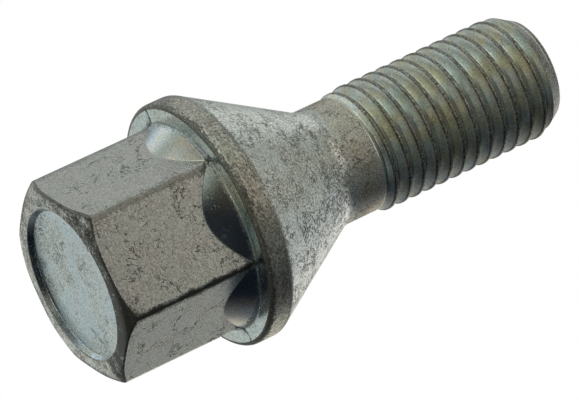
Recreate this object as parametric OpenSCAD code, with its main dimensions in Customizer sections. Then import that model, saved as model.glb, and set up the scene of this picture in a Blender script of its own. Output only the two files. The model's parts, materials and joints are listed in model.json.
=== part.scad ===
// Wheel bolt with a hexagon head, a fixed collar and a conical seat.
// Forged in one piece with a rolled metric fine thread, and zinc plated.
// It stands on the end of its head: Z runs along the axis to the tip, and a corner of
// the hexagon points along X. All sizes are in millimetres and degrees.

/* [Hexagon head] */
// Width of the hexagon between two opposite flats
across_flats = 17; // [13:0.5:21]
// How much each edge of the hexagon is blunted, measured along the radius
edge_blunting = 0.1; // [0.04:0.02:0.4]
// Height of the head from its end to the collar
head_h = 13.2; // [10:0.1:18]
// How far the end chamfer reaches in from each flat
end_chamfer_inset = 0.1; // [0.05:0.05:0.4]
// Slope of the end chamfer, measured from the flat end
end_chamfer_angle = 29; // [15:1:40]

/* [Recess in the end] */
// Diameter of the recess at its rim
recess_d = 14.4; // [8:0.1:15]
// Depth of the recess
recess_depth = 0.65; // [0.3:0.05:3]
// How much smaller the floor is than the rim, on each side
recess_draft = 0.3; // [0.1:0.05:0.6]
// Width of the floor's border, which falls gently to the flat middle
recess_border = 1; // [0.2:0.1:3]
// How much deeper the flat middle is than the outside of its border
recess_dish = 0.15; // [0.05:0.05:0.2]

/* [Round foot of the head] */
// How far the foot stands out beyond the flats where it meets the collar
foot_reach = 1.4; // [1:0.05:2.2]
// Height of the foot above the collar's near face
foot_h = 3.4; // [2.5:0.1:5]
// Radius of the hollow in the side of the foot
foot_hollow_r = 30; // [6:1:60]
// Rounding of the inner corner between the foot and the collar
foot_fillet_r = 0.4; // [0.1:0.1:0.8]

/* [Collar] */
// Diameter of the collar
collar_d = 23.3; // [22:0.1:27]
// Height of the collar's rim
collar_h = 2.2; // [1.2:0.1:5]
// Rounding of the rim's edge towards the head
rim_head_r = 0.45; // [0.1:0.05:0.6]
// Rounding of the rim's edge towards the seat
rim_seat_r = 0.7; // [0.2:0.1:1.4]

/* [Conical seat and neck] */
// Full angle of the conical seat
seat_angle = 60; // [50:1:90]
// Diameter of the neck between the seat and the thread
neck_d = 11.1; // [10.4:0.1:11.6]
// Length of the neck
neck_l = 3.3; // [2:0.1:12]
// Radius of the hollow between the seat and the neck
neck_hollow_r = 2.2; // [0.5:0.1:3]

/* [Thread] */
// Diameter over the thread's crests
thread_d = 11.9; // [11.7:0.05:12]
// Distance from one crest to the next
thread_pitch = 1.5; // [1:0.25:1.75]
// Length of the thread from the neck to the tip
thread_l = 20.4; // [12:0.1:45]
// Diameter of the flat tip
tip_d = 9.7; // [8.6:0.1:10.2]
// Slope of the chamfer at the tip, measured from the axis
tip_chamfer_angle = 30; // [20:1:60]
// Where on the way round the thread begins
thread_turn = 314; // [0:1:359]

/* [Hidden] */

// Steps in each rounded corner of a profile
CORNER_STEPS = 8;
// How far a cutting shape runs past the face that it cuts
OVERRUN = 1;
// How far one turned form runs into the next
SINK = 0.4;
$fn = 144;

// Heights of the main shoulders above the end of the head
collar_z = head_h;
seat_z = collar_z + collar_h;
seat_h = (collar_d - neck_d) / 2 / tan(seat_angle / 2);
neck_z = seat_z + seat_h;
thread_z = neck_z + neck_l;
tip_z = thread_z + thread_l;

// The hexagon, and the round outline that blunts its edges and chamfers its end
hex_r = across_flats / 2 / cos(30);
blunt_r = hex_r - edge_blunting;
end_r = across_flats / 2 - end_chamfer_inset;
end_chamfer_h = (blunt_r - end_r) * tan(end_chamfer_angle);
// The recess's wall meets its floor here
floor_r = recess_d / 2 - recess_draft;

// The foot starts a little way inside the flats, so that it comes out of each in a bow
foot_inset = 0.3;
foot_low = [across_flats / 2 - foot_inset, collar_z - foot_h];
foot_high = [across_flats / 2 + foot_reach, collar_z];

// The thread has the metric profile: 60 degree flanks, and a groove that takes 0.6134 of
// the pitch from the radius. It is rolled a little under its nominal size, so its crest is
// a sixth of the pitch wide.
FLANK = 30;
groove_depth = 0.6134 * thread_pitch;
crest_half = thread_pitch / 12;
root_half = crest_half + groove_depth * tan(FLANK);
// Steps in one turn of the thread
TURN_STEPS = 36;
// Turns that lie hidden in the neck, and turns over which the thread grows to full height
HIDDEN_TURNS = 1.5;
GROWING_TURNS = 1.25;
// The hidden start of the thread lies this far below the neck's surface
START_DEPTH = 0.03;
thread_turns = HIDDEN_TURNS + ceil(thread_l / thread_pitch) + 2;
thread_steps = ceil(thread_turns * TURN_STEPS);

function unit(v) = v / norm(v);

// Points on the arc round a centre, from one point of it to another, the shorter way
function arc_points(centre, from, to, steps) =
    let (
        a = from - centre,
        b = to - centre,
        start = atan2(a.y, a.x),
        turn = atan2(a.x * b.y - a.y * b.x, a * b)
    )
    [for (i = [0:steps])
        centre + norm(a) * [cos(start + turn * i / steps), sin(start + turn * i / steps)]];

// A corner of a profile, rounded with a radius
function rounded(before, corner, after, r) =
    let (
        u = unit(before - corner),
        v = unit(after - corner),
        half = acos(u * v) / 2,
        centre = corner + unit(u + v) * r / sin(half),
        leg = r / tan(half)
    )
    arc_points(centre, corner + u * leg, corner + v * leg, CORNER_STEPS);

// Centre of the arc of a given radius through two points, on the side away from the axis
function hollow_centre(from, to, r) =
    let (
        chord = to - from,
        reach = norm(chord) / 2
    )
    (from + to) / 2 + unit([chord.y, -chord.x]) * sqrt(r * r - reach * reach);

// Hexagon with its edges blunted, its end chamfered and the shallow dished recess sunk in it
module hexagon_head() {
    difference() {
        intersection() {
            cylinder(r = hex_r, h = collar_z + SINK, $fn = 6);
            rotate_extrude()
                polygon([
                    [0, 0], [end_r, 0], [blunt_r, end_chamfer_h],
                    [blunt_r, collar_z + OVERRUN], [0, collar_z + OVERRUN]
                ]);
        }
        rotate_extrude()
            polygon([
                [0, -OVERRUN], [recess_d / 2, -OVERRUN], [recess_d / 2, 0],
                [floor_r, recess_depth - recess_dish], [floor_r - recess_border, recess_depth],
                [0, recess_depth]
            ]);
    }
}

// The foot spreads from the flats to the collar with a slightly hollow side, so it leaves
// a bow-shaped edge on every flat, and it turns into the collar with a small fillet
module round_foot() {
    centre = hollow_centre(foot_low, foot_high, foot_hollow_r);
    side = arc_points(centre, foot_low, foot_high, 2 * CORNER_STEPS);
    last = len(side) - 2 - floor(CORNER_STEPS / 4);
    fillet = rounded(side[last], foot_high, foot_high + [1, 0], foot_fillet_r);
    rotate_extrude()
        polygon(concat(
            [[0, foot_low.y]],
            [for (i = [0:last]) side[i]],
            fillet,
            [fillet[CORNER_STEPS] + [0, SINK], [0, collar_z + SINK]]
        ));
}

// The collar, the conical seat and the neck, turned as one profile
module collar_and_seat() {
    rim_head = [collar_d / 2, collar_z];
    rim_seat = [collar_d / 2, seat_z];
    neck_top = [neck_d / 2, neck_z];
    neck_end = [neck_d / 2, thread_z];
    rotate_extrude()
        polygon(concat(
            [[0, collar_z]],
            rounded([0, collar_z], rim_head, rim_seat, rim_head_r),
            rounded(rim_head, rim_seat, neck_top, rim_seat_r),
            rounded(rim_seat, neck_top, neck_end, neck_hollow_r),
            [neck_end, [0, thread_z]]
        ));
}

// How far the thread has grown after a number of turns, from 0 to 1
function growth(turns) =
    let (t = min(max((turns - HIDDEN_TURNS) / GROWING_TURNS, 0), 1))
    t * t * (3 - 2 * t);

// One corner of the thread's profile after a number of steps along the helix
function thread_corner(step, corner) =
    let (
        turns = step / TURN_STEPS,
        start_r = neck_d / 2 - START_DEPTH,
        full_r = [thread_d / 2 - groove_depth, thread_d / 2][corner[0]],
        r = start_r + (full_r - start_r) * growth(turns)
    )
    [r * cos(360 * turns), r * sin(360 * turns),
     thread_z + (turns - HIDDEN_TURNS) * thread_pitch + corner[1]];

// Screw-shaped rod: the groove and crest wind up side by side, and each turn's groove
// ends on the next turn's. A point on the axis closes each end.
module threaded_rod() {
    // Each corner is on the crest (1) or in the groove (0), and so far above the crest's middle
    corners = [[0, -root_half], [1, -crest_half], [1, crest_half], [0, root_half]];
    n = len(corners);
    points = [for (s = [0:thread_steps], c = corners) thread_corner(s, c)];
    low = len(points);
    high = low + 1;
    rod_low = thread_z - (HIDDEN_TURNS + 1) * thread_pitch;
    rod_high = thread_z + (thread_turns - HIDDEN_TURNS + 1) * thread_pitch;
    sides = [for (s = [0:thread_steps - 1], c = [0:n - 2])
        [s * n + c, s * n + c + 1, (s + 1) * n + c + 1, (s + 1) * n + c]];
    grooves = [for (s = [0:thread_steps - TURN_STEPS - 1])
        [s * n + n - 1, (s + TURN_STEPS) * n, (s + 1 + TURN_STEPS) * n, (s + 1) * n + n - 1]];
    low_ramp = [for (s = [0:TURN_STEPS - 1]) [low, s * n, (s + 1) * n]];
    low_step = [
        for (c = [0:n - 2]) [low, c + 1, c],
        [low, TURN_STEPS * n, n - 1]
    ];
    last = thread_steps * n;
    high_ramp = [for (s = [thread_steps - TURN_STEPS:thread_steps - 1])
        [high, (s + 1) * n + n - 1, s * n + n - 1]];
    high_step = [
        for (c = [0:n - 2]) [high, last + c, last + c + 1],
        [high, last - TURN_STEPS * n + n - 1, last]
    ];
    polyhedron(
        points = concat(points, [[0, 0, rod_low], [0, 0, rod_high]]),
        faces = concat(sides, grooves, low_ramp, low_step, high_ramp, high_step),
        convexity = 10
    );
}

// The rod trimmed to length, with the chamfer at its tip
module thread() {
    outside = thread_d / 2 + OVERRUN;
    intersection() {
        rotate([0, 0, thread_turn]) threaded_rod();
        rotate_extrude()
            polygon([
                [0, collar_z], [outside, collar_z],
                [outside, tip_z - (outside - tip_d / 2) / tan(tip_chamfer_angle)],
                [tip_d / 2, tip_z], [0, tip_z]
            ]);
    }
}

module wheel_bolt() {
    color("#a3aaa4")
        union() {
            hexagon_head();
            round_foot();
            collar_and_seat();
            thread();
        }
}

wheel_bolt();
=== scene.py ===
"""Looks of the wheel bolt: zinc plated steel with a forged head and a rolled thread.

The head, the collar, the seat and the neck are turned as one blank, and the six flats are then
pressed into its head. The thread is wound from the outline of one turn, trimmed at its tip and
joined on to the neck, so the bolt is one closed skin. It is modelled in millimetres and brought
to metres at the end.
"""

import json
import math

import bpy
import numpy as np
from mathutils import Euler, Matrix, Vector

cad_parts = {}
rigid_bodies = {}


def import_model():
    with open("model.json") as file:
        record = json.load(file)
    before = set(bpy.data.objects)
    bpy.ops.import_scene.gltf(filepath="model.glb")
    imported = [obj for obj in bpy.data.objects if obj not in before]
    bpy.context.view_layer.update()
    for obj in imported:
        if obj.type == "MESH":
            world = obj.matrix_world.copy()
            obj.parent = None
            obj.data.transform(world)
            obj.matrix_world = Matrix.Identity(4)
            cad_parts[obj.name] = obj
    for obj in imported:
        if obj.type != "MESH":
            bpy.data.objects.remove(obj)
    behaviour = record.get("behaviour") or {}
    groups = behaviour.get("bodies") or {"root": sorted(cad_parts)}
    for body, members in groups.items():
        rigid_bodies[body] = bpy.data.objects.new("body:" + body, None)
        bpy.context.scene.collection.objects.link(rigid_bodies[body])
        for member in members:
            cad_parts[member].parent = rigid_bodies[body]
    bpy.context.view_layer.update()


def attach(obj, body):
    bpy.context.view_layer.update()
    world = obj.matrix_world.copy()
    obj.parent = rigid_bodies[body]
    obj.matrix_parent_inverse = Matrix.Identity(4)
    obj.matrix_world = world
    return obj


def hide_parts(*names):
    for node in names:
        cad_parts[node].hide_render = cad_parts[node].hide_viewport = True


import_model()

MM = 0.001
HAIR, SLACK = 0.001, 0.01  # points this near are one; parts this near a height lie at it

# Hexagon head
FLAT_REACH = 8.5  # from the axis to a flat
EDGE_R = 0.6  # rounding of the six long edges
END_TURN_R = 8.78  # where the flat end turns into its chamfer
END_SLOPE = math.tan(math.radians(36))
END_SOFTNESS = 0.3  # how softly it turns
END_EDGE = 0.14  # half width of the worn edge between chamfer and flats
CREASE_ANGLE = math.radians(32)  # the skin is shaded smoothly over anything flatter

# Recess in the end: rim, foot of its wall, and the flat middle inside a falling border
RECESS_R, RECESS_WALL, RECESS_MIDDLE = 7.2, (6.9, 0.5), (5.9, 0.65)
MOUTH_R, WALL_FOOT_R, DISH_R = 0.10, 0.12, 3.0  # roundings at these three
MOUTH_WIDTH = 0.2  # the end's plain ring begins this far outside the rim

# Round foot: its hollow side runs through two points of the outline
FOOT_LOW, FOOT_HIGH = (8.2, 9.8), (9.9, 13.2)
FOOT_HOLLOW_R = 30.0
FOOT_FILLET = 0.24  # reach of the turn from the foot into the collar's face
BOW_EDGE = 0.08  # half width of the crease between a flat and the foot

# Collar, seat and neck
COLLAR_R, COLLAR_Z, SEAT_Z = 11.65, 13.2, 15.4
RIM_HEAD_R, RIM_SEAT_R = 0.45, 0.7
SEAT_LEAN = math.radians(30)
NECK_R = 5.55
NECK_Z = SEAT_Z + (COLLAR_R - NECK_R) / math.tan(SEAT_LEAN)
NECK_HOLLOW_R = 2.2
NECK_JOIN_Z = 27.9  # the turned blank ends here

# Thread
THREAD_R, PITCH = 5.95, 1.5
THREAD_Z, TIP_Z = 29.265, 49.665
FLANK_LEAN = math.radians(30)
GROOVE_DEPTH = 0.6134 * PITCH
CREST_HALF = PITCH / 12
ROOT_HALF = CREST_HALF + GROOVE_DEPTH * math.tan(FLANK_LEAN)
CREST_EDGE_R, ROOT_R = 0.07, 0.15
THREAD_START = math.radians(314)
# Turns that lie inside the neck, turns over which the thread grows, and turns of the whole rod
HIDDEN_TURNS, GROWING_TURNS, ROD_TURNS = 1.5, 1.25, 16
ROD_CUT_Z = 28.0  # the rod is cut off here, just beyond the blank
TIP_R, TIP_SLOPE = 4.85, math.tan(math.radians(30))

# Parting lines of the forging dies across the collar's face: their turns, reach, how far
# from their ends they run out, depth and half width
PARTING_TURNS = (math.radians(2.76), math.radians(178.44))
PARTING_REACH, PARTING_RUN_OUT = (10.25, 11.4), 0.12
PARTING_DEPTH, PARTING_HALF = 0.08, 0.05

# Steps round the blank and in one turn of the thread
BLANK_STEPS, THREAD_STEPS = 288, 96
SEAM = 0.0001  # turns this near to a whole one are whole
UNGROWN = 0.02  # a thread grown less than this still looks like the neck
EDGE_CROWDING = 0.6  # how much closer the blank's steps stand at the long edges


# ---------------------------------------------------------------- outlines

def arc(centre, start, end, steps):
    """Points on the arc round centre from start to end, the shorter way."""
    a, b = np.subtract(start, centre), np.subtract(end, centre)
    turn = math.atan2(a[0] * b[1] - a[1] * b[0], a @ b)
    at = math.atan2(a[1], a[0]) + turn * np.linspace(0, 1, steps + 1)
    return np.asarray(centre) + np.hypot(*a) * np.column_stack([np.cos(at), np.sin(at)])


def straight(start, end, steps):
    """Points from start to end."""
    t = np.linspace(0, 1, steps + 1)[:, None]
    return np.asarray(start) * (1 - t) + np.asarray(end) * t


def eased(start, corner, end, steps):
    """Points that turn softly from start to end round a corner."""
    t = np.linspace(0, 1, steps + 1)[:, None]
    return (np.asarray(start) * (1 - t) ** 2 + np.asarray(corner) * 2 * t * (1 - t)
            + np.asarray(end) * t ** 2)


def rounded(before, corner, after, radius, steps):
    """Points of a corner rounded with a radius."""
    corner = np.asarray(corner, float)
    u, v = np.subtract(before, corner), np.subtract(after, corner)
    u, v = u / np.hypot(*u), v / np.hypot(*v)
    half = math.acos(u @ v) / 2
    leg = radius / math.tan(half)
    centre = corner + (u + v) / np.hypot(*(u + v)) * radius / math.sin(half)
    return arc(centre, corner + u * leg, corner + v * leg, steps)


def hollow_centre(start, end, radius):
    """Centre of the arc through two points, on the side away from the axis."""
    chord = np.subtract(end, start)
    away = np.array([chord[1], -chord[0]]) / np.hypot(*chord)
    reach = math.sqrt(radius ** 2 - (np.hypot(*chord) / 2) ** 2)
    return np.add(start, end) / 2 + away * reach


FOOT_CENTRE = hollow_centre(FOOT_LOW, FOOT_HIGH, FOOT_HOLLOW_R)


def foot_point(z):
    """The point of the foot's hollow side at a height."""
    return FOOT_CENTRE[0] - math.sqrt(FOOT_HOLLOW_R ** 2 - (z - FOOT_CENTRE[1]) ** 2), z


def foot_height(r):
    """The height at which the foot's hollow side has a radius."""
    return FOOT_CENTRE[1] + math.sqrt(FOOT_HOLLOW_R ** 2 - (FOOT_CENTRE[0] - r) ** 2)


def hexagon_reach(turn):
    """From the axis to the side of the hexagon in one direction."""
    off_edge = abs((turn + math.pi / 6) % (math.pi / 3) - math.pi / 6)
    centre = (FLAT_REACH - EDGE_R) / math.cos(math.pi / 6)
    rounding = math.atan2(EDGE_R / 2, centre + EDGE_R * math.cos(math.pi / 6))
    if off_edge < rounding:
        across = centre * math.sin(off_edge)
        return centre * math.cos(off_edge) + math.sqrt(EDGE_R ** 2 - across ** 2)
    return FLAT_REACH / math.cos(math.pi / 6 - off_edge)


def end_height(r):
    """Height of the head's end at a radius: flat, then turning into the chamfer."""
    slope = END_SLOPE * (r - END_TURN_R)
    return (slope + np.sqrt(slope * slope + END_SOFTNESS ** 2)) / 2


def blank_outline(reach):
    """The blank's outline where its flats reach so far: a list of (zone, points)."""
    mouth = (RECESS_R, end_height(RECESS_R))
    dish = rounded((0, RECESS_MIDDLE[1]), RECESS_MIDDLE, RECESS_WALL, DISH_R, 6)
    wall_foot = rounded(RECESS_MIDDLE, RECESS_WALL, mouth, WALL_FOOT_R, 5)
    end_r = np.linspace(RECESS_R + MOUTH_WIDTH, reach - END_EDGE, 12)
    end = np.column_stack([end_r, end_height(end_r)])
    mouth_edge = rounded(RECESS_WALL, mouth, end[0], MOUTH_R, 4)
    edge_z, bow_z = float(end_height(reach)), foot_height(reach)
    end_edge = eased(end[-1], (reach, edge_z), (reach, edge_z + END_EDGE), 5)
    bow = eased((reach, bow_z - BOW_EDGE), (reach, bow_z), foot_point(bow_z + BOW_EDGE), 4)
    foot = arc(FOOT_CENTRE, bow[-1], foot_point(COLLAR_Z - FOOT_FILLET), 18)
    collar_start = eased(foot[-1], FOOT_HIGH, (FOOT_HIGH[0] + FOOT_FILLET, COLLAR_Z), 5)
    rim_head, rim_seat, neck = (COLLAR_R, COLLAR_Z), (COLLAR_R, SEAT_Z), (NECK_R, NECK_Z)
    rim_start = rounded(FOOT_HIGH, rim_head, rim_seat, RIM_HEAD_R, 7)
    seat_start = rounded(rim_head, rim_seat, neck, RIM_SEAT_R, 9)
    hollow = rounded(rim_seat, neck, (NECK_R, NECK_JOIN_Z), NECK_HOLLOW_R, 12)
    return [
        ("recess", straight((0, RECESS_MIDDLE[1]), dish[0], 8)[:-1]),
        ("recess", dish),
        ("recess", straight(dish[-1], wall_foot[0], 3)[1:-1]),
        ("recess", wall_foot),
        ("end", mouth_edge),
        ("end", end[:-1]),
        ("end", end_edge[:-1]),
        ("flat", straight(end_edge[-1], bow[0], 14)[:-1]),
        ("foot", bow),
        ("foot", foot[1:-1]),
        ("collar", collar_start),
        ("collar", straight(collar_start[-1], rim_start[0], 7)[1:-1]),
        ("rim", rim_start),
        ("rim", straight(rim_start[-1], seat_start[0], 6)[1:-1]),
        ("seat", seat_start),
        ("seat", straight(seat_start[-1], hollow[0], 18)[1:-1]),
        ("seat", hollow[:-2]),
        ("neck", hollow[-2:]),
        ("neck", straight(hollow[-1], (NECK_R, NECK_JOIN_Z), 4)[1:]),
    ]


def thread_outline():
    """One turn of the thread, from the middle of a groove to the middle of the next."""
    root_r = THREAD_R - GROOVE_DEPTH
    corners = [(root_r, -PITCH / 2), (root_r, -ROOT_HALF), (THREAD_R, -CREST_HALF),
               (THREAD_R, CREST_HALF), (root_r, ROOT_HALF), (root_r, PITCH / 2)]
    turns = [rounded(*corners[i:i + 3], radius, 3)
             for i, radius in enumerate([ROOT_R, CREST_EDGE_R, CREST_EDGE_R, ROOT_R])]
    return np.vstack([
        corners[:1], turns[0], straight(turns[0][-1], turns[1][0], 4)[1:-1], turns[1],
        [(THREAD_R, 0)], turns[2], straight(turns[2][-1], turns[3][0], 4)[1:-1], turns[3],
        corners[-1:],
    ])


# ---------------------------------------------------------------- working by hand

def deselect_all():
    """Leaves nothing selected."""
    for other in bpy.context.view_layer.objects:
        other.select_set(False)


def choose(*objects):
    """Selects these objects alone and makes the first one active."""
    deselect_all()
    for obj in objects:
        obj.select_set(True)
    bpy.context.view_layer.objects.active = objects[0]


def apply_modifiers(obj):
    """Applies all modifiers of an object, in their order."""
    choose(obj)
    for modifier in list(obj.modifiers):
        bpy.ops.object.modifier_apply(modifier=modifier.name)


def positions(obj):
    """The places of an object's points, one row for each."""
    flat = np.empty(len(obj.data.vertices) * 3, np.float32)
    obj.data.vertices.foreach_get("co", flat)
    return flat.reshape(-1, 3).astype(float)


def move_points(obj, points):
    """Moves all points of an object to new places."""
    obj.data.vertices.foreach_set("co", np.asarray(points, np.float32).ravel())
    obj.data.update()


def point_values(obj, attribute, kind):
    """The values that an attribute has on an object's points."""
    values = np.empty(len(obj.data.vertices), kind)
    obj.data.attributes[attribute].data.foreach_get("value", values)
    return values


def draw_line(name, points):
    """A new object that is one line through (radius, height) points, each with its row."""
    mesh = bpy.data.meshes.new(name)
    mesh.from_pydata([(r, 0, z) for r, z in points],
                     [(i, i + 1) for i in range(len(points) - 1)], [])
    mesh.attributes.new("row", "INT", "POINT").data.foreach_set("value", range(len(points)))
    mesh.attributes.new("grown", "FLOAT", "POINT")
    obj = bpy.data.objects.new(name, mesh)
    bpy.context.scene.collection.objects.link(obj)
    return obj


def spin_round(obj, steps):
    """Turns a line once round the axis into a skin whose faces point outwards."""
    choose(obj)
    bpy.ops.object.mode_set(mode="EDIT")
    bpy.ops.mesh.select_all(action="SELECT")
    bpy.ops.mesh.spin(steps=steps, angle=math.tau, center=(0, 0, 0), axis=(0, 0, 1))
    bpy.ops.mesh.select_all(action="SELECT")
    bpy.ops.mesh.remove_doubles(threshold=HAIR)
    bpy.ops.mesh.normals_make_consistent(inside=False)
    bpy.ops.object.mode_set(mode="OBJECT")


# ---------------------------------------------------------------- the blank

def press_hexagon(blank):
    """Moves each point of the round blank to where the pressed flats leave it."""
    points, row = positions(blank), point_values(blank, "row", np.int32)
    step = math.tau / BLANK_STEPS
    column = np.rint(np.arctan2(points[:, 1], points[:, 0]) / step).astype(int) % BLANK_STEPS
    turned = np.arange(BLANK_STEPS) * step
    # Columns stand closer together at the long edges, where the skin bends most
    turned = turned - EDGE_CROWDING * np.sin(6 * turned) / 6
    outlines = np.array([np.vstack([part for _, part in blank_outline(hexagon_reach(turn))])
                         for turn in turned])
    place, turn = outlines[column, row], turned[column]
    on_face = abs(place[:, 1] - COLLAR_Z) < SLACK
    place[:, 1] += parting_depth(place[:, 0], turn) * on_face
    move_points(blank, np.column_stack([place[:, 0] * np.cos(turn), place[:, 0] * np.sin(turn),
                                        place[:, 1]]))


def parting_depth(r, turn):
    """How deep a parting line of the dies lies in the collar's face at a place."""
    inside = np.minimum(r - PARTING_REACH[0], PARTING_REACH[1] - r)
    along = np.clip(inside / PARTING_RUN_OUT, 0, 1)
    across = sum(np.exp(-(np.sin(turn - at) * r / PARTING_HALF) ** 2) * (np.cos(turn - at) > 0)
                 for at in PARTING_TURNS)
    return PARTING_DEPTH * along * across


def make_blank():
    """The turned and pressed blank: head, collar, seat and neck."""
    outline = blank_outline(hexagon_reach(0))
    blank = draw_line("wheel_bolt_skin", np.vstack([part for _, part in outline]))
    spin_round(blank, BLANK_STEPS)
    press_hexagon(blank)
    return blank


# ---------------------------------------------------------------- the thread

def growth(turns):
    """How far the thread has grown after a number of turns, from 0 to 1."""
    t = np.clip((turns - HIDDEN_TURNS) / GROWING_TURNS, 0, 1)
    return t * t * (3 - 2 * t)


def make_rod():
    """The threaded rod, wound with a screw modifier."""
    rod = draw_line("threaded_rod", thread_outline())
    screw = rod.modifiers.new("wind", "SCREW")
    screw.axis, screw.angle, screw.screw_offset = "Z", math.tau, PITCH
    screw.iterations, screw.steps, screw.render_steps = ROD_TURNS, THREAD_STEPS, THREAD_STEPS
    apply_modifiers(rod)
    bpy.ops.object.mode_set(mode="EDIT")
    bpy.ops.mesh.select_all(action="SELECT")
    bpy.ops.mesh.remove_doubles(threshold=HAIR)
    bpy.ops.object.mode_set(mode="OBJECT")

    points = positions(rod)
    turn = np.arctan2(points[:, 1], points[:, 0]) / math.tau % 1
    wound = points[:, 2] / PITCH + 0.5
    across = (wound - turn) % 1
    across[np.minimum(across, 1 - across) < SEAM] = 0
    along = wound - across
    # A groove's middle is shared by two turns, so both sides lean to the growth halfway
    aside = across - 0.5
    lean = np.sign(aside) * np.clip((abs(aside) - 0.3) / 0.2, 0, 1) * 0.5
    grown = growth(along + lean)
    r = np.hypot(points[:, 0], points[:, 1])
    r = NECK_R + (r - NECK_R) * grown
    angle = turn * math.tau + THREAD_START
    z = points[:, 2] + THREAD_Z - HIDDEN_TURNS * PITCH
    rod.data.attributes["grown"].data.foreach_set("value", grown)
    move_points(rod, np.column_stack([r * np.cos(angle), r * np.sin(angle), z]))
    return rod


def pick(obj, mode, chosen):
    """Selects in edit mode just the vertices, edges or faces for which chosen says yes."""
    bpy.ops.object.mode_set(mode="EDIT")
    bpy.ops.mesh.select_mode(type=mode)
    bpy.ops.mesh.select_all(action="DESELECT")
    bpy.ops.object.mode_set(mode="OBJECT")
    parts = {"VERT": obj.data.vertices, "EDGE": obj.data.edges, "FACE": obj.data.polygons}[mode]
    for part in parts:
        part.select = bool(chosen(part))
    bpy.ops.object.mode_set(mode="EDIT")


def open_edges(obj, low, high):
    """Picks the edges of the skin's open rims that lie between two heights."""
    choose(obj)
    bpy.ops.object.mode_set(mode="EDIT")
    bpy.ops.mesh.select_mode(type="EDGE")
    bpy.ops.mesh.select_all(action="DESELECT")
    bpy.ops.mesh.select_non_manifold()
    bpy.ops.object.mode_set(mode="OBJECT")
    z = positions(obj)[:, 2]
    rims = {edge.index for edge in obj.data.edges
            if edge.select and low < z[list(edge.vertices)].mean() < high}
    pick(obj, "EDGE", lambda edge: edge.index in rims)


def close_rod(rod):
    """Draws each open end of the rod together in one point on its axis."""
    for low, high in ((-math.inf, ROD_CUT_Z), (TIP_Z, math.inf)):
        open_edges(rod, low, high)
        bpy.ops.mesh.extrude_edges_move()
        bpy.ops.mesh.merge(type="CENTER")
        bpy.ops.object.mode_set(mode="OBJECT")
    choose(rod)
    bpy.ops.object.mode_set(mode="EDIT")
    bpy.ops.mesh.select_all(action="SELECT")
    bpy.ops.mesh.normals_make_consistent(inside=False)
    bpy.ops.object.mode_set(mode="OBJECT")


def trim_rod(rod):
    """Cuts the rod to length, with the chamfer at its tip."""
    wide = THREAD_R + 1  # clear of the crests
    envelope = draw_line("tip_envelope", [
        (0, ROD_CUT_Z), (wide, ROD_CUT_Z), (wide, TIP_Z - (wide - TIP_R) / TIP_SLOPE),
        (TIP_R, TIP_Z), (0, TIP_Z)])
    spin_round(envelope, BLANK_STEPS)
    trim = rod.modifiers.new("trim", "BOOLEAN")
    trim.operation, trim.solver, trim.object = "INTERSECT", "EXACT", envelope
    apply_modifiers(rod)
    bpy.data.objects.remove(envelope)


def join_rod(blank, rod):
    """Opens the rod's low end and bridges it to the blank's neck."""
    choose(rod)
    pick(rod, "FACE", lambda face: face.center.z < ROD_CUT_Z + HAIR)
    bpy.ops.mesh.delete(type="FACE")
    bpy.ops.object.mode_set(mode="OBJECT")
    choose(blank, rod)
    bpy.ops.object.join()
    open_edges(blank, NECK_JOIN_Z - SLACK, ROD_CUT_Z + SLACK)
    bpy.ops.mesh.bridge_edge_loops()
    bpy.ops.mesh.select_all(action="SELECT")
    bpy.ops.mesh.normals_make_consistent(inside=False)
    bpy.ops.object.mode_set(mode="OBJECT")


def finish_skin(bolt):
    """Shades the skin smoothly between its creases and brings it to metres."""
    choose(bolt)
    bpy.ops.object.shade_smooth_by_angle(angle=CREASE_ANGLE, keep_sharp_edges=False)
    weighted = bolt.modifiers.new("even_shading", "WEIGHTED_NORMAL")
    weighted.mode, weighted.keep_sharp = "FACE_AREA", True
    apply_modifiers(bolt)
    bolt.data.transform(Matrix.Scale(MM, 4))


# ---------------------------------------------------------------- finishes

def put(tree, kind, values=(), **settings):
    """Adds a node with its settings; a value that is a socket is linked to its input."""
    node = tree.nodes.new(kind)
    for name, setting in settings.items():
        setattr(node, name, setting)
    for name, value in dict(values).items():
        if isinstance(value, bpy.types.NodeSocket):
            tree.links.new(value, node.inputs[name])
        else:
            node.inputs[name].default_value = value
    return node


def place(tree, group, values=()):
    """Places a node group in a tree with its own values."""
    return put(tree, "ShaderNodeGroup", values, node_tree=group).outputs


def mix(tree, factor, first, second, blend="MIX"):
    """The colour between two, or the second laid over the first in another way."""
    return put(tree, "ShaderNodeMix", {0: factor, 6: first, 7: second},
               data_type="RGBA", blend_type=blend).outputs[2]


def math_node(tree, operation, first, second=0.0, third=0.0):
    """A sum on up to three values."""
    return put(tree, "ShaderNodeMath", {0: first, 1: second, 2: third},
               operation=operation).outputs[0]


def fade(tree, value, start, end):
    """From 0 at start to 1 at end, softly."""
    return put(tree, "ShaderNodeMapRange", {"Value": value, "From Min": start, "From Max": end},
               interpolation_type="SMOOTHSTEP").outputs["Result"]


def noise(tree, vector, scale, detail, roughness, distortion=0.0):
    """Cloudy values round 0.5; scale is how many clouds lie in a millimetre."""
    return put(tree, "ShaderNodeTexNoise", {
        "Vector": vector, "Scale": scale, "Detail": detail, "Roughness": roughness,
        "Distortion": distortion}).outputs[0]


def swing(tree, value, strength):
    """How far a noise is from its middle, times a strength."""
    return math_node(tree, "MULTIPLY", math_node(tree, "SUBTRACT", value, 0.5), strength)


def new_group(name, inputs, outputs):
    """A node group with named sockets; returns it with its input and output nodes."""
    tree = bpy.data.node_groups.new(name, "ShaderNodeTree")
    for label, (kind, value) in inputs.items():
        socket = tree.interface.new_socket(label, in_out="INPUT", socket_type="NodeSocket" + kind)
        if value is not None:
            socket.default_value = value
    for label, kind in outputs.items():
        tree.interface.new_socket(label, in_out="OUTPUT", socket_type="NodeSocket" + kind)
    given = tree.nodes.new("NodeGroupInput").outputs
    return tree, given, tree.nodes.new("NodeGroupOutput")


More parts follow.
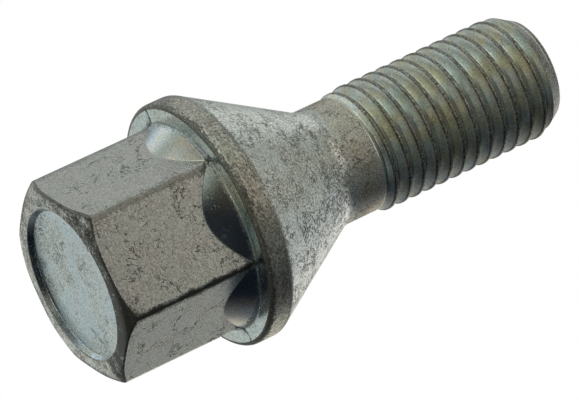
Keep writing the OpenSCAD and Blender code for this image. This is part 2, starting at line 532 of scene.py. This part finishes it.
UNROLL_R = 8.0  # lengths round the axis are true at this radius


def group_place_on_bolt():
    """Where a point lies, in millimetres: plainly, unrolled round the axis, and from the edges.

    Edge is how far round it is from the nearest long edge of the hexagon, with its sign, and
    Inset how far it lies inside the hexagon's side.
    """
    tree, _, out = new_group("place_on_bolt", {}, {
        "Point": "Vector", "Unrolled": "Vector", "Turn": "Float", "Radius": "Float",
        "Height": "Float", "Edge": "Float", "Inset": "Float"})
    where = put(tree, "ShaderNodeTexCoord").outputs["Object"]
    point = put(tree, "ShaderNodeVectorMath", {0: where, 3: 1 / MM},
                operation="SCALE").outputs[0]
    parts = put(tree, "ShaderNodeSeparateXYZ", {0: point}).outputs
    turn = math_node(tree, "ARCTAN2", parts["Y"], parts["X"])
    across = put(tree, "ShaderNodeCombineXYZ", {0: parts["X"], 1: parts["Y"]}).outputs[0]
    radius = put(tree, "ShaderNodeVectorMath", {0: across}, operation="LENGTH").outputs["Value"]
    unrolled = put(tree, "ShaderNodeCombineXYZ", {
        0: math_node(tree, "MULTIPLY", turn, UNROLL_R), 1: parts["Z"], 2: radius}).outputs[0]
    off_edge = math_node(tree, "PINGPONG", turn, math.pi / 6)
    beside = math_node(tree, "WRAP", turn, math.pi / 6, -math.pi / 6)
    side = math_node(tree, "DIVIDE", FLAT_REACH, math_node(
        tree, "COSINE", math_node(tree, "SUBTRACT", math.pi / 6, off_edge)))
    for label, socket in (
            ("Point", point), ("Unrolled", unrolled), ("Turn", turn), ("Radius", radius),
            ("Height", parts["Z"]),
            ("Edge", math_node(tree, "MULTIPLY", beside, radius)),
            ("Inset", math_node(tree, "SUBTRACT", side, radius))):
        tree.links.new(socket, out.inputs[label])
    return tree


def group_specks():
    """Small dark specks that gather in clusters."""
    tree, given, out = new_group("specks", {
        "Point": ("Vector", None), "Fineness": ("Float", 4.0), "Cover": ("Float", 0.4),
        "Gathering": ("Float", 0.35)}, {"Mask": "Float"})
    fine = noise(tree, given["Point"], given["Fineness"], 3.0, 0.6)
    wide = noise(tree, given["Point"], given["Gathering"], 3.0, 0.6)
    shift = put(tree, "ShaderNodeMapRange", {"Value": wide, "From Min": 0.35, "From Max": 0.65,
                "To Min": -0.14, "To Max": 0.06}).outputs["Result"]
    level = math_node(tree, "ADD", math_node(tree, "ADD", fine, shift), given["Cover"])
    tree.links.new(fade(tree, level, 0.96, 1.12), out.inputs["Mask"])
    return tree


def group_hairlines():
    """Winding hairlines: contour lines of a rugged noise, broken into lengths."""
    tree, given, out = new_group("hairlines", {
        "Point": ("Vector", None), "Spacing": ("Float", 4.0), "Width": ("Float", 0.05),
        "Share": ("Float", 0.4)}, {"Mask": "Float"})
    scale = math_node(tree, "DIVIDE", 1.0, given["Spacing"])
    rugged = noise(tree, given["Point"], scale, 4.0, 0.6, distortion=0.6)
    away = math_node(tree, "ABSOLUTE", swing(tree, rugged, given["Spacing"]))
    line = fade(tree, away, given["Width"], 0.0)
    broken = noise(tree, given["Point"], 0.45, 4.0, 0.7)
    shown = fade(tree, math_node(tree, "ADD", broken, given["Share"]), 0.96, 1.06)
    tree.links.new(math_node(tree, "MULTIPLY", line, shown), out.inputs["Mask"])
    return tree


def group_grime_and_shade():
    """A ragged band along a line, full at the line and gone at its reach: grime along edges and
    painted shade in nooks.
    """
    tree, given, out = new_group("grime_and_shade", {
        "Point": ("Vector", None), "Distance": ("Float", 0.0), "Reach": ("Float", 0.4),
        "Raggedness": ("Float", 3.0)}, {"Mask": "Float"})
    ragged = noise(tree, given["Point"], 3.5, 3.0, 0.75)
    patchy = noise(tree, given["Point"], 0.7, 3.0, 0.6)
    near = math_node(tree, "DIVIDE", math_node(tree, "ABSOLUTE", given["Distance"]),
                     given["Reach"])
    near = math_node(tree, "ADD", near, swing(tree, ragged, given["Raggedness"]))
    near = math_node(tree, "ADD", near, swing(tree, patchy, -2.0))
    tree.links.new(fade(tree, near, 1.2, 0.4), out.inputs["Mask"])
    return tree


def group_zinc_tint():
    """The plating's own colour: soft clouds of a cool and a warm tint, smudges and fine grain."""
    tree, given, out = new_group("zinc_tint", {
        "Point": ("Vector", None), "Cool": ("Color", None), "Warm": ("Color", None),
        "Breadth": ("Float", 3.0), "Mottling": ("Float", 0.1), "Grain": ("Float", 0.1)},
        {"Color": "Color"})
    scale = math_node(tree, "DIVIDE", 1.0, given["Breadth"])
    wide = noise(tree, given["Point"], scale, 2.0, 0.6)
    tint = mix(tree, fade(tree, wide, 0.38, 0.62), given["Cool"], given["Warm"])
    cloud = swing(tree, noise(tree, given["Point"], 0.9, 4.0, 0.65), given["Mottling"])
    grain = swing(tree, noise(tree, given["Point"], 7.0, 2.0, 0.7), given["Grain"])
    value = math_node(tree, "MULTIPLY_ADD", math_node(tree, "ADD", cloud, grain), 4.0, 1.0)
    tree.links.new(put(tree, "ShaderNodeHueSaturation", {
        "Hue": 0.5, "Saturation": 1.0, "Value": value, "Fac": 1.0, "Color": tint}).outputs[0],
        out.inputs["Color"])
    return tree


# Each zone's finish: tints, how much clouds and grain vary them, roughness, and the marks.
# Specks are (fineness, cover, strength), hairlines (spacing, width, share, strength).
FINISHES = {
    "recess": dict(cool=(0.59, 0.69, 0.73), warm=(0.63, 0.68, 0.67), mottling=0.06, grain=0.50,
                   roughness=0.26, specks=(5.0, 0.42, 0.3), hairlines=(2.6, 0.05, 0.44, 0.5)),
    "end": dict(cool=(0.62, 0.64, 0.61), warm=(0.60, 0.59, 0.53), mottling=0.15, grain=0.55,
                roughness=0.22, specks=(4.0, 0.47, 0.5), hairlines=(2.0, 0.05, 0.50, 0.6)),
    "flat": dict(cool=(0.64, 0.68, 0.64), warm=(0.66, 0.67, 0.63), mottling=0.07, grain=0.50,
                 roughness=0.24, specks=(5.5, 0.40, 0.4), hairlines=(4.0, 0.042, 0.483, 0.8)),
    "foot": dict(cool=(0.62, 0.69, 0.68), warm=(0.68, 0.66, 0.57), mottling=0.03, grain=0.35,
                 roughness=0.24, specks=(4.5, 0.33, 0.4), hairlines=(3.0, 0.05, 0.40, 0.6)),
    "collar": dict(cool=(0.61, 0.70, 0.70), warm=(0.63, 0.67, 0.65), mottling=0.06, grain=0.55,
                   roughness=0.22, specks=(5.0, 0.42, 0.4), hairlines=(2.6, 0.04, 0.38, 0.5)),
    "rim": dict(cool=(0.56, 0.56, 0.50), warm=(0.58, 0.565, 0.49), mottling=0.16, grain=0.85,
                roughness=0.32, specks=(4.5, 0.46, 0.5), hairlines=(2.0, 0.05, 0.46, 0.6)),
    "seat": dict(cool=(0.68, 0.72, 0.70), warm=(0.70, 0.72, 0.68), mottling=0.09, grain=0.80,
                 roughness=0.32, specks=(5.0, 0.45, 0.55), hairlines=(2.0, 0.045, 0.505, 0.75)),
    "neck": dict(cool=(0.62, 0.62, 0.56), warm=(0.65, 0.61, 0.52), mottling=0.11, grain=0.80,
                 roughness=0.42, specks=(4.5, 0.44, 0.5), hairlines=(2.2, 0.05, 0.495, 0.7)),
    # The thread's tints are lighter than the rest of the plating: painted light that makes up for
    # light lost between its flanks
    "thread": dict(cool=(0.77, 0.84, 0.81), warm=(0.81, 0.81, 0.67), mottling=0.09, grain=0.55,
                   roughness=0.35, specks=(5.0, 0.42, 0.4), hairlines=(2.6, 0.05, 0.42, 0.4)),
    "tip": dict(cool=(0.62, 0.66, 0.63), warm=(0.65, 0.65, 0.57), mottling=0.10, grain=0.60,
                roughness=0.34, specks=(5.0, 0.44, 0.5), hairlines=(2.2, 0.05, 0.48, 0.6)),
}
ZONES = list(FINISHES)
UNROLLED_ZONES = ("rim", "neck", "thread")  # their marks run round the axis
# Dark colours of the marks: grime, with painted shade in the head's nooks, and worn metal, with
# painted shade at the bottoms of the thread's grooves
GRIME_AND_SHADE, WORN_AND_SHADED = (0.042, 0.04, 0.034, 1), (0.12, 0.11, 0.09, 1)
GRIME_AND_SHADE_DULLS, GRIME_AND_SHADE_ROUGHENS = 0.6, 0.25  # what the full marks take from and add to the finish, grime and painted shade alike
RELIEF = 0.015  # depth of the grain and the marks
DARKEST_EDGE_TURN = math.radians(120)  # the long edge that is darkened most, along it and beside it on the end
NECK_TINT = (NECK_Z + 0.3, NECK_Z + 1.8)  # heights between which the seat's tint turns to it
CHAMFER_WEAR, WEAR_SPECKLE = 0.9, 3.4  # at the tip's chamfer, and how much it breaks up

# How worn the thread is, with painted shade and grime at the bottom of the groove, from the
# middle of one groove (0) to the next one towards the tip (1)
WEAR_AND_SHADE_ACROSS = ((0.0, 0.4), (0.05, 0.4), (0.10, 0.0), (0.34, 0.0), (0.39, 0.9), (0.46, 0.75),
               (0.54, 0.75), (0.59, 1.0), (0.70, 0.85), (0.79, 0.0), (0.94, 0.0), (1.0, 0.4))


def grime_and_shade_lines(tree, zone, where):
    """Where grime gathers in a zone and where shade is painted in its nooks: distance from the
    line, reach, strength, raggedness.
    """
    height, radius, edge, inset = [where[name] for name in ("Height", "Radius", "Edge", "Inset")]

    def minus(first, second):
        return math_node(tree, "SUBTRACT", first, second)

    def from_turn(turn):
        return math_node(tree, "MULTIPLY", minus(where["Turn"], turn), radius)

    def from_both(first, second):
        square = math_node(tree, "MULTIPLY", second, second)
        return math_node(tree, "SQRT", math_node(tree, "MULTIPLY_ADD", first, first, square))

    if zone == "end":
        from_spot = math_node(tree, "ABSOLUTE", minus(from_turn(DARKEST_EDGE_TURN), 0.8))
        return [(inset, 0.5, 0.7, 3.0), (minus(radius, RECESS_R), 0.15, 0.4, 3.0),
                # a wide darkened patch on the end beside the long edge that is darkened most
                (math_node(tree, "MULTIPLY_ADD", inset, 1.5, from_spot), 16.0, 0.9, 3.0)]
    if zone == "flat":
        rise = math_node(tree, "MULTIPLY", minus(radius, END_TURN_R), END_SLOPE)
        above_end, from_darkest_edge = minus(height, rise), from_turn(DARKEST_EDGE_TURN)
        return [(minus(edge, 0.25), 0.45, 0.35, 3.0), (above_end, 0.25, 0.7, 3.0),
                # painted shade with dirt in the nook where a long edge meets the collar
                (from_both(edge, minus(COLLAR_Z, height)), 0.6, 0.9, 3.0),
                # darkened most along one long edge, and where it meets the end
                (minus(from_darkest_edge, 0.1), 0.4, 0.95, 1.5),
                (from_both(from_darkest_edge, above_end), 1.0, 0.85, 2.0)]
    if zone == "foot":
        below_collar = minus(COLLAR_Z, height)
        # Painted shade in the crease where the foot meets the collar's face, and painted shade
        # with dirt in the nooks where the long edges meet it
        return [(below_collar, 0.3, 0.6, 3.0), (from_both(edge, below_collar), 0.6, 0.9, 3.0)]
    if zone == "collar":
        beyond_foot = minus(radius, FOOT_HIGH[0])
        # Painted shade in the crease round the foot and, with dirt, in the nooks at the long
        # edges; grime along the parting lines
        return [(beyond_foot, 0.15, 0.4, 3.0), (from_both(edge, beyond_foot), 0.5, 0.9, 3.0),
                *((from_turn(turn), 0.1, 0.9, 1.0) for turn in PARTING_TURNS)]
    if zone == "rim":
        return [(minus(height, COLLAR_Z), 0.6, 0.65, 3.0), (minus(SEAT_Z, height), 0.3, 0.5, 3.0)]
    if zone == "seat":
        return [(minus(height, SEAT_Z), 0.3, 0.5, 3.0)]
    return []


def zinc_colour(tree, groups, point, finish):
    """The plating's colour in one finish, without marks."""
    return place(tree, groups["tint"], {
        "Point": point, "Cool": (*finish["cool"], 1), "Warm": (*finish["warm"], 1),
        "Mottling": finish["mottling"], "Grain": finish["grain"]})["Color"]


def plated(zone, groups):
    """The material of one zone of the plated skin."""
    finish = FINISHES[zone]
    material = bpy.data.materials.new("zinc_" + zone)
    material.use_nodes = True
    tree = material.node_tree
    shader = tree.nodes["Principled BSDF"]
    where = place(tree, groups["place"])
    point = where["Unrolled" if zone in UNROLLED_ZONES else "Point"]
    colour = zinc_colour(tree, groups, point, finish)
    if zone == "neck":
        seat_colour = zinc_colour(tree, groups, where["Point"], FINISHES["seat"])
        colour = mix(tree, fade(tree, where["Height"], *NECK_TINT), seat_colour, colour)
    fineness, cover, strength = finish["specks"]
    specks = place(tree, groups["specks"], {
        "Point": point, "Fineness": fineness, "Cover": cover})["Mask"]
    marks = math_node(tree, "MULTIPLY", specks, strength)
    spacing, width, share, strength = finish["hairlines"]
    for closeness in (1.0, 0.5):
        lines = place(tree, groups["hairlines"], {
            "Point": point, "Spacing": spacing * closeness, "Width": width, "Share": share})
        marks = math_node(tree, "MAXIMUM", marks,
                          math_node(tree, "MULTIPLY", lines["Mask"], strength))
    for distance, reach, strength, raggedness in grime_and_shade_lines(tree, zone, where):
        grime_and_shade = place(tree, groups["grime_and_shade"], {
            "Point": point, "Distance": distance, "Reach": reach,
            "Raggedness": raggedness})["Mask"]
        marks = math_node(tree, "MAXIMUM", marks, math_node(tree, "MULTIPLY", grime_and_shade, strength))
    if zone == "thread":
        # Worn metal on the crest and at the tip, and painted shade with grime at the bottom of
        # the groove
        colour = mix(tree, thread_wear_and_shade(tree, where), colour, WORN_AND_SHADED)
    # The marks darken the colour: specks, hairlines and grime, and painted shade in the head's
    # nooks
    tree.links.new(mix(tree, marks, colour, GRIME_AND_SHADE), shader.inputs["Base Color"])
    tree.links.new(math_node(tree, "MULTIPLY_ADD", marks, -GRIME_AND_SHADE_DULLS, 1.0),
                   shader.inputs["Metallic"])
    tree.links.new(math_node(tree, "MULTIPLY_ADD", marks, GRIME_AND_SHADE_ROUGHENS, finish["roughness"]),
                   shader.inputs["Roughness"])
    grain = math_node(tree, "MULTIPLY", noise(tree, point, 4.0, 3.0, 0.6), finish["grain"])
    bump = put(tree, "ShaderNodeBump", {
        "Strength": 1.0, "Distance": RELIEF * MM,
        "Height": math_node(tree, "SUBTRACT", grain, marks)}).outputs[0]
    tree.links.new(bump, shader.inputs["Normal"])
    return material


def thread_wear_and_shade(tree, where):
    """Rubbed and dirty metal on the crest, on the side that faces the tip and at the tip, and
    painted shade with grime at the bottom of the groove.
    """
    turn = math_node(tree, "MULTIPLY_ADD", where["Turn"], 1 / math.tau, -THREAD_START / math.tau)
    climbed = math_node(tree, "MULTIPLY_ADD", where["Height"], 1 / PITCH, -THREAD_Z / PITCH)
    across = math_node(tree, "FRACT", math_node(tree, "SUBTRACT", climbed, turn))
    profile = put(tree, "ShaderNodeValToRGB", {"Fac": across})
    stops = profile.color_ramp.elements
    while len(stops) < len(WEAR_AND_SHADE_ACROSS):
        stops.new(1.0)
    for stop, (position, wear) in zip(stops, WEAR_AND_SHADE_ACROSS):
        stop.position, stop.color = position, (wear, wear, wear, 1)
    grown = put(tree, "ShaderNodeAttribute", attribute_name="grown").outputs["Fac"]
    worn_and_shaded = math_node(tree, "MULTIPLY", profile.outputs["Color"], fade(tree, grown, 0.0, 0.15))
    outside = math_node(tree, "MULTIPLY_ADD", where["Height"], TIP_SLOPE, where["Radius"])
    rim = TIP_R + TIP_Z * TIP_SLOPE
    chamfer = math_node(tree, "MULTIPLY", fade(tree, outside, rim - 0.05, rim - 0.02),
                        CHAMFER_WEAR)
    speckle = swing(tree, noise(tree, where["Unrolled"], 7.0, 2.0, 0.7), WEAR_SPECKLE)
    level = math_node(tree, "ADD", speckle, math_node(tree, "MAXIMUM", worn_and_shaded, chamfer))
    return fade(tree, level, 0.3, 1.0)


def dress(bolt):
    """Gives each face the finish of the zone that it lies in."""
    groups = {"place": group_place_on_bolt(), "tint": group_zinc_tint(),
              "specks": group_specks(), "hairlines": group_hairlines(), "grime_and_shade": group_grime_and_shade()}
    for zone in ZONES:
        bolt.data.materials.append(plated(zone, groups))
    row_zones = [zone for zone, part in blank_outline(hexagon_reach(0)) for _ in part]
    row, grown = point_values(bolt, "row", np.int32), point_values(bolt, "grown", np.float32)
    for face in bolt.data.polygons:
        height = face.center.z / MM
        if height < NECK_JOIN_Z:
            zone = row_zones[min(row[v] for v in face.vertices)]
        elif height > TIP_Z - SLACK:
            zone = "tip"
        elif height < THREAD_Z + PITCH and max(grown[v] for v in face.vertices) < UNGROWN:
            zone = "neck"
        else:
            zone = "thread"
        face.material_index = ZONES.index(zone)


bolt = make_blank()
rod = make_rod()
close_rod(rod)
trim_rod(rod)
join_rod(bolt, rod)
finish_skin(bolt)
dress(bolt)
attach(bolt, "root")
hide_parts("wheel_bolt")


# ---------------------------------------------------------------- camera

# Found from the photograph: the camera's place in millimetres and its turns in degrees
CAMERA_PLACE = Vector((7.948, 417.607, -168.698))
CAMERA_TURNS = (136.9393, -55.2833, 137.3841)
CAMERA_LENS, CAMERA_SENSOR = 320.345, 36

camera = bpy.data.objects.new("camera", bpy.data.cameras.new("camera"))
bpy.context.scene.collection.objects.link(camera)
camera_turn = Euler([math.radians(turn) for turn in CAMERA_TURNS]).to_matrix()
camera.matrix_world = Matrix.Translation(CAMERA_PLACE * MM) @ camera_turn.to_4x4()
camera.data.lens, camera.data.sensor_width = CAMERA_LENS, CAMERA_SENSOR
camera.data.clip_start, camera.data.clip_end = 0.01, 10
bpy.context.scene.camera = camera


# ---------------------------------------------------------------- studio

# Soft sources round the bolt, fitted so that its faces mirror what they do in the photograph:
# direction along the photograph's right, up and back, degrees off it where the source ends and
# where it is full, and colour. Between them it is dark, and so it is straight at the camera.
SOFT_SOURCES = [
    # Beyond the bolt
    ((0.24, -0.28, -0.93), 35, 18, (0.50, 0.47, 0.38)),
    ((0.59, 0.17, -0.79), 34, 5, (0.48, 0.47, 0.51)),
    ((0.18, -0.16, -0.97), 76, 23, (0.19, 0.20, 0.21)),
    ((-0.67, -0.13, -0.73), 37, 11, (0.45, 0.47, 0.43)),
    ((-0.35, -0.55, -0.75), 35, 10, (0.07, 0.07, 0.07)),
    # Above, from the left to the right
    ((-0.71, 0.66, -0.26), 31, 17, (0.40, 0.40, 0.34)),
    ((-0.63, 0.55, -0.56), 22, 6, (0.42, 0.49, 0.58)),
    ((-0.29, 0.93, 0.25), 29, 13, (0.70, 0.70, 0.68)),
    ((-0.11, 0.77, 0.62), 34, 19, (0.56, 0.62, 0.53)),
    ((0.03, 0.84, -0.54), 34, 20, (0.39, 0.39, 0.38)),
    ((0.63, 0.54, -0.56), 51, 32, (0.26, 0.28, 0.24)),
    ((0.79, 0.55, 0.29), 34, 20, (0.52, 0.45, 0.39)),
    # At the left, on the camera's side
    ((-0.97, 0.21, 0.16), 30, 16, (0.63, 0.68, 0.68)),
    ((-0.64, -0.10, 0.76), 22, 7, (0.96, 0.89, 0.68)),
    ((-0.51, -0.74, 0.44), 21, 6, (0.28, 0.33, 0.31)),
    # At the right, wide and weak
    ((0.84, -0.08, 0.53), 58, 16, (0.11, 0.12, 0.11)),
]
STUDIO_DARK = (0.004, 0.006, 0.013, 1)  # what the studio sends back between the sources


def soft_source(tree, direction, source, end, full, colour):
    """The light that a soft source gives in a direction, fading at its rim."""
    middle = camera_turn @ Vector(source).normalized()
    cosine = put(tree, "ShaderNodeVectorMath", {0: direction, 1: middle},
                 operation="DOT_PRODUCT").outputs["Value"]
    share = fade(tree, cosine, math.cos(math.radians(end)), math.cos(math.radians(full)))
    return mix(tree, share, (0, 0, 0, 1), (*colour, 1))


def light_studio():
    """A white surround for the camera, and soft sources with dark between for the metal."""
    world = bpy.data.worlds.new("studio")
    bpy.context.scene.world = world
    world.use_nodes = True
    tree = world.node_tree
    tree.nodes.clear()
    direction = put(tree, "ShaderNodeTexCoord").outputs["Generated"]
    total = STUDIO_DARK
    for source in SOFT_SOURCES:
        total = mix(tree, 1.0, total, soft_source(tree, direction, *source), "ADD")
    around = put(tree, "ShaderNodeBackground", {"Color": total, "Strength": 1.0})
    white = put(tree, "ShaderNodeBackground", {"Color": (1, 1, 1, 1), "Strength": 1.0})
    seen = put(tree, "ShaderNodeLightPath").outputs["Is Camera Ray"]
    both = put(tree, "ShaderNodeMixShader", {0: seen, 1: around.outputs[0],
                                             2: white.outputs[0]})
    put(tree, "ShaderNodeOutputWorld", {"Surface": both.outputs[0]})


def lay_floor():
    """A pale floor under the head, which shows only from above and hides no light."""
    deselect_all()
    bpy.ops.mesh.primitive_plane_add(size=2, location=(0, 0, 0))
    floor = bpy.context.active_object
    floor.name = "floor"
    material = bpy.data.materials.new("pale_floor")
    material.use_nodes = True
    tree = material.node_tree
    tree.nodes.clear()
    pale = put(tree, "ShaderNodeBsdfDiffuse", {"Color": (0.9, 0.9, 0.9, 1)})
    clear = put(tree, "ShaderNodeBsdfTransparent")
    seen = put(tree, "ShaderNodeLightPath").outputs["Is Camera Ray"]
    below = put(tree, "ShaderNodeNewGeometry").outputs["Backfacing"]
    shown = put(tree, "ShaderNodeMath", {0: seen, 1: below},
                operation="SUBTRACT", use_clamp=True).outputs[0]
    surface = put(tree, "ShaderNodeMixShader", {0: shown, 1: clear.outputs[0],
                                                2: pale.outputs[0]})
    put(tree, "ShaderNodeOutputMaterial", {"Surface": surface.outputs[0]})
    floor.data.materials.append(material)


light_studio()
lay_floor()
bpy.context.scene.view_settings.view_transform = "Standard"
